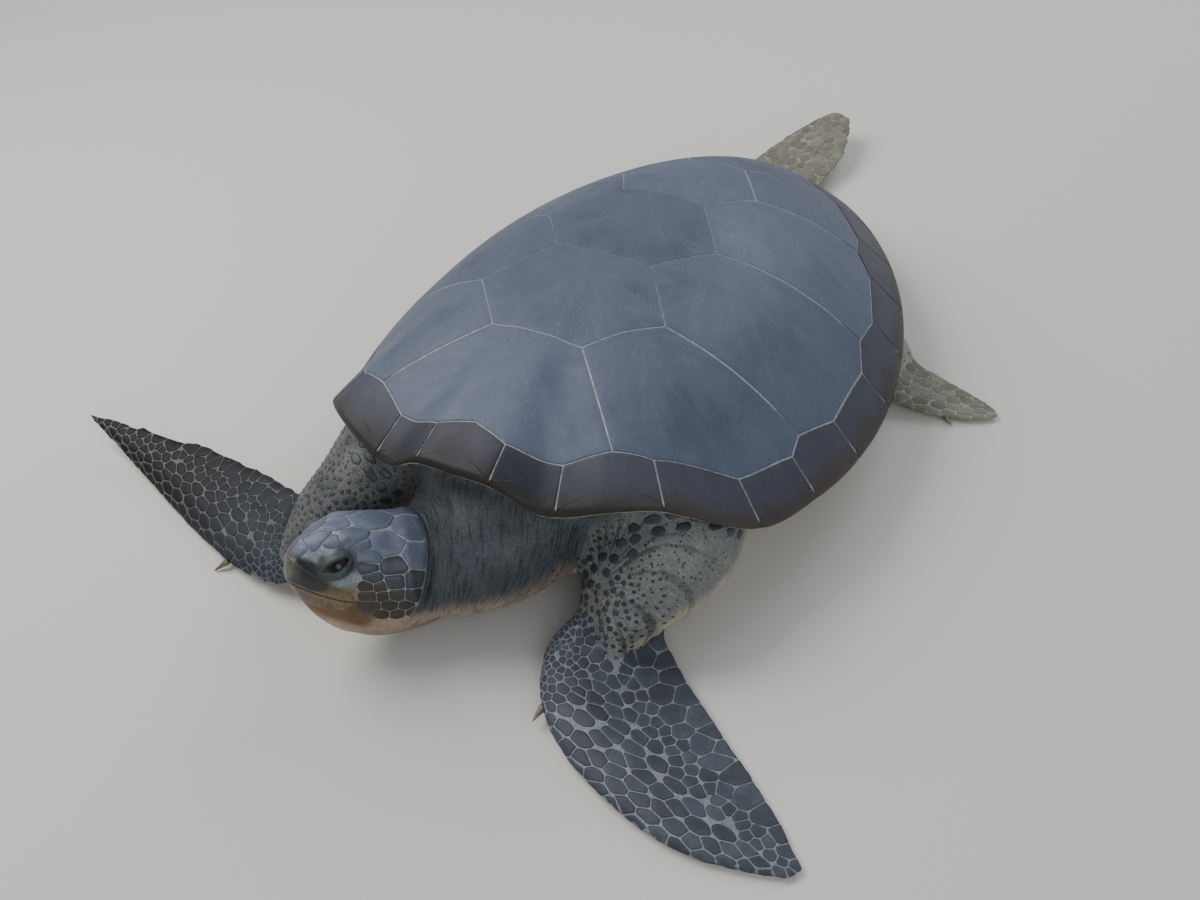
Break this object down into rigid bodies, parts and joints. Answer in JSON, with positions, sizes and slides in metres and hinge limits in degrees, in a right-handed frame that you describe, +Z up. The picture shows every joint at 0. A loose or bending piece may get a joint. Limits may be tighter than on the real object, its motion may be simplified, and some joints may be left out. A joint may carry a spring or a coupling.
{
  "type": "green sea turtle model",
  "caption": "Life-size still model of an adult green sea turtle lying on its plastron, head turned to its right and long flippers spread, for display on a floor or plinth.",
  "frame": {"origin": "on the floor, in the flat underside of the plastron, near the middle of the shell's length", "axes": "+Z up, head toward -Y, the turtle's own left side toward +X"},
  "size_m": [1.418, 1.552, 0.3473],
  "materials": {
    "shell_scutes": "satin",
    "rim_scutes": "satin",
    "plastron_scutes": "satin",
    "skin": "matte",
    "flipper_skin": "satin",
    "horn": "satin",
    "eyes": "gloss"
  },
  "bodies": {
    "root": {"nuchal": "rim_scutes", "vertebral_1": "shell_scutes", "vertebral_2": "shell_scutes", "vertebral_3": "shell_scutes", "vertebral_4": "shell_scutes", "vertebral_5": "shell_scutes", "costal_left_1": "shell_scutes", "costal_left_2": "shell_scutes", "costal_left_3": "shell_scutes", "costal_left_4": "shell_scutes", "marginal_left_1": "rim_scutes", "marginal_left_2": "rim_scutes", "marginal_left_3": "rim_scutes", "marginal_left_4": "rim_scutes", "marginal_left_5": "rim_scutes", "marginal_left_6": "rim_scutes", "marginal_left_7": "rim_scutes", "marginal_left_8": "rim_scutes", "marginal_left_9": "rim_scutes", "marginal_left_10": "rim_scutes", "marginal_left_11": "rim_scutes", "supracaudal_left": "rim_scutes", "costal_right_1": "shell_scutes", "costal_right_2": "shell_scutes", "costal_right_3": "shell_scutes", "costal_right_4": "shell_scutes", "marginal_right_1": "rim_scutes", "marginal_right_2": "rim_scutes", "marginal_right_3": "rim_scutes", "marginal_right_4": "rim_scutes", "marginal_right_5": "rim_scutes", "marginal_right_6": "rim_scutes", "marginal_right_7": "rim_scutes", "marginal_right_8": "rim_scutes", "marginal_right_9": "rim_scutes", "marginal_right_10": "rim_scutes", "marginal_right_11": "rim_scutes", "supracaudal_right": "rim_scutes", "plastron": "plastron_scutes", "trunk": "skin", "neck": "skin", "head": "skin", "lower_jaw": "horn", "eye_left": "eyes", "upper_arm_left": "skin", "front_flipper_left": "flipper_skin", "front_claw_left": "horn", "thigh_left": "skin", "hind_flipper_left": "flipper_skin", "hind_claw_left": "horn", "eye_right": "eyes", "upper_arm_right": "skin", "front_flipper_right": "flipper_skin", "front_claw_right": "horn", "thigh_right": "skin", "hind_flipper_right": "flipper_skin", "hind_claw_right": "horn", "tail": "skin"}
  },
  "joints": []
}
